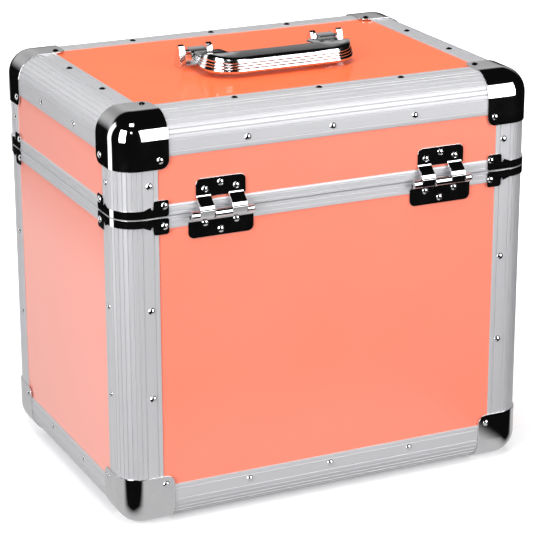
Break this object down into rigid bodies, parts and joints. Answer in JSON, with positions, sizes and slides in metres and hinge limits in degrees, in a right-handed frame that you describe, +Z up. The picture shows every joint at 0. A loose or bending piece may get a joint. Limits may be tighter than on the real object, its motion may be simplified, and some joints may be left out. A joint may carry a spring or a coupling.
{
  "type": "hard equipment case",
  "caption": "Upright hard case of glossy coral panels in ribbed aluminium profiles, with a hinged lid, folding top handle, steel ball corners and draw latches.",
  "frame": {"origin": "centre of the footprint, latches and hinges included, on the plane that the case stands on", "axes": "+Z up; +Y from the latches at the front to the hinges at the rear; +X to the right as seen from the front"},
  "size_m": [0.4054, 0.3198, 0.3936],
  "materials": {
    "laminate": "gloss",
    "aluminium_profile": "satin",
    "chrome": "polished",
    "rivet_steel": "polished",
    "foam": "matte"
  },
  "bodies": {
    "base": {"base_front_panel": "laminate", "base_rear_panel": "laminate", "base_left_panel": "laminate", "base_right_panel": "laminate", "base_floor_panel": "laminate", "base_bottom_rail_front": "aluminium_profile", "base_bottom_rail_rear": "aluminium_profile", "base_bottom_rail_left": "aluminium_profile", "base_bottom_rail_right": "aluminium_profile", "base_rim_front": "aluminium_profile", "base_rim_rear": "aluminium_profile", "base_rim_left": "aluminium_profile", "base_rim_right": "aluminium_profile", "base_corner_posts": "aluminium_profile", "base_corner_caps": "chrome", "base_braces": "chrome", "base_rivets": "rivet_steel", "base_floor_pad": "foam", "base_wall_padding": "foam", "hinge_left_base_leaf": "chrome", "hinge_right_base_leaf": "chrome", "hinge_pins": "chrome", "latch_left_base": "chrome", "latch_right_base": "chrome", "latch_pivot_pins": "chrome"},
    "lid": {"lid_top_panel": "laminate", "lid_front_panel": "laminate", "lid_rear_panel": "laminate", "lid_left_panel": "laminate", "lid_right_panel": "laminate", "lid_top_rail_front": "aluminium_profile", "lid_top_rail_rear": "aluminium_profile", "lid_top_rail_left": "aluminium_profile", "lid_top_rail_right": "aluminium_profile", "lid_rim_front": "aluminium_profile", "lid_rim_rear": "aluminium_profile", "lid_rim_left": "aluminium_profile", "lid_rim_right": "aluminium_profile", "lid_corner_posts": "aluminium_profile", "lid_corner_caps": "chrome", "lid_braces": "chrome", "lid_rivets": "rivet_steel", "lid_top_pad": "foam", "lid_wall_padding": "foam", "hinge_left_lid_leaf": "chrome", "hinge_right_lid_leaf": "chrome", "latch_left_keeper": "chrome", "latch_right_keeper": "chrome", "handle_left_bracket": "chrome", "handle_right_bracket": "chrome", "handle_pivot_pins": "chrome"},
    "handle": {"handle": "chrome"},
    "latch_left_lever": {"latch_left_lever": "chrome", "latch_left_link_pin": "chrome"},
    "latch_left_hook": {"latch_left_hook": "chrome"},
    "latch_right_lever": {"latch_right_lever": "chrome", "latch_right_link_pin": "chrome"},
    "latch_right_hook": {"latch_right_hook": "chrome"}
  },
  "joints": [
    {"name": "lid_hinge", "type": "hinge", "parent": "base", "child": "lid", "pos_m": [0, 0.15591, 0.2845], "axis": [-1, 0, 0], "range_deg": [0, 105]},
    {"name": "handle_fold", "type": "hinge", "parent": "lid", "child": "handle", "pos_m": [0, 0.00021, 0.3861], "axis": [1, 0, 0], "range_deg": [0, 180]},
    {"name": "latch_left_throw", "type": "hinge", "parent": "base", "child": "latch_left_lever", "pos_m": [-0.1065, -0.14609, 0.2632], "axis": [-1, 0, 0], "range_deg": [-12, 88]},
    {"name": "latch_left_hook_swing", "type": "hinge", "parent": "latch_left_lever", "child": "latch_left_hook", "pos_m": [-0.1065, -0.14686, 0.25478], "axis": [-1, 0, 0], "range_deg": [-119.5, 17]},
    {"name": "latch_right_throw", "type": "hinge", "parent": "base", "child": "latch_right_lever", "pos_m": [0.1065, -0.14609, 0.2632], "axis": [-1, 0, 0], "range_deg": [-12, 88]},
    {"name": "latch_right_hook_swing", "type": "hinge", "parent": "latch_right_lever", "child": "latch_right_hook", "pos_m": [0.1065, -0.14686, 0.25478], "axis": [-1, 0, 0], "range_deg": [-119.5, 17]}
  ],
  "couplings": [
    {"joint": "latch_left_hook_swing", "follows": "latch_left_throw", "ratio": -1.35},
    {"joint": "latch_right_hook_swing", "follows": "latch_right_throw", "ratio": -1.35}
  ]
}
